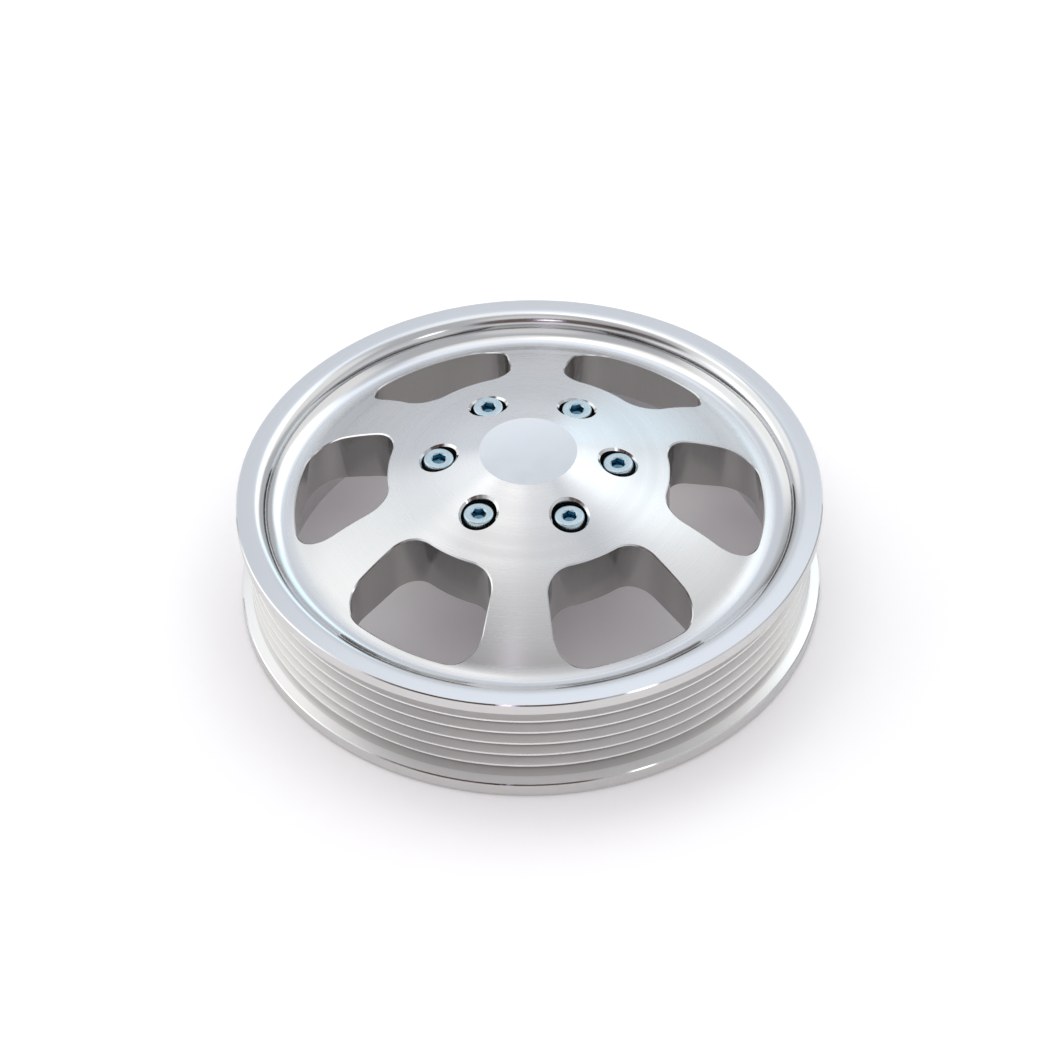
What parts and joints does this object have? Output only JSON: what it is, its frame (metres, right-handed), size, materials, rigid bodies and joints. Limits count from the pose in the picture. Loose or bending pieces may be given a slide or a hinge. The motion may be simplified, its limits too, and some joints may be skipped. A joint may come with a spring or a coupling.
{
  "type": "supercharger drive pulley",
  "caption": "Grooved supercharger drive pulley: domed billet wheel with windows in its web, screwed to a keyed steel hub.",
  "frame": {"origin": "on the pulley's axis, in the plane of the rim's back face, which it lies on", "axes": "+Z along the axis and out of the domed front; +X through a window, a cap screw and the shaft grub screw; +Y through the key"},
  "size_m": [0.1344, 0.1344, 0.0422],
  "materials": {
    "turned_aluminium": "fine turned, satin to bright, with milled window walls",
    "dark_steel": "dark oxidised steel, turned",
    "bright_steel": "bright drawn steel",
    "zinc_steel": "pale blue zinc plate",
    "black_steel": "black oxide"
  },
  "bodies": {
    "pulley": {"pulley_wheel": "turned_aluminium", "drive_hub": "dark_steel", "drive_key": "bright_steel"},
    "screw_1": {"cap_screw_1": "zinc_steel"},
    "screw_2": {"cap_screw_2": "zinc_steel"},
    "screw_3": {"cap_screw_3": "zinc_steel"},
    "screw_4": {"cap_screw_4": "zinc_steel"},
    "screw_5": {"cap_screw_5": "zinc_steel"},
    "screw_6": {"cap_screw_6": "zinc_steel"},
    "shaft_grub": {"shaft_grub_screw": "black_steel"},
    "key_grub": {"key_grub_screw": "black_steel"}
  },
  "joints": [
    {"name": "unscrew_1", "type": "slide", "parent": "pulley", "child": "screw_1", "axis": [0, 0, 1], "range_m": [0, 0.0077]},
    {"name": "unscrew_2", "type": "slide", "parent": "pulley", "child": "screw_2", "axis": [0, 0, 1], "range_m": [0, 0.0077]},
    {"name": "unscrew_3", "type": "slide", "parent": "pulley", "child": "screw_3", "axis": [0, 0, 1], "range_m": [0, 0.0077]},
    {"name": "unscrew_4", "type": "slide", "parent": "pulley", "child": "screw_4", "axis": [0, 0, 1], "range_m": [0, 0.0077]},
    {"name": "unscrew_5", "type": "slide", "parent": "pulley", "child": "screw_5", "axis": [0, 0, 1], "range_m": [0, 0.0077]},
    {"name": "unscrew_6", "type": "slide", "parent": "pulley", "child": "screw_6", "axis": [0, 0, 1], "range_m": [0, 0.0077]},
    {"name": "unscrew_shaft_grub", "type": "slide", "parent": "pulley", "child": "shaft_grub", "axis": [1, 0, 0], "range_m": [0, 0.0049]},
    {"name": "unscrew_key_grub", "type": "slide", "parent": "pulley", "child": "key_grub", "axis": [0, 1, 0], "range_m": [0, 0.0028]}
  ]
}
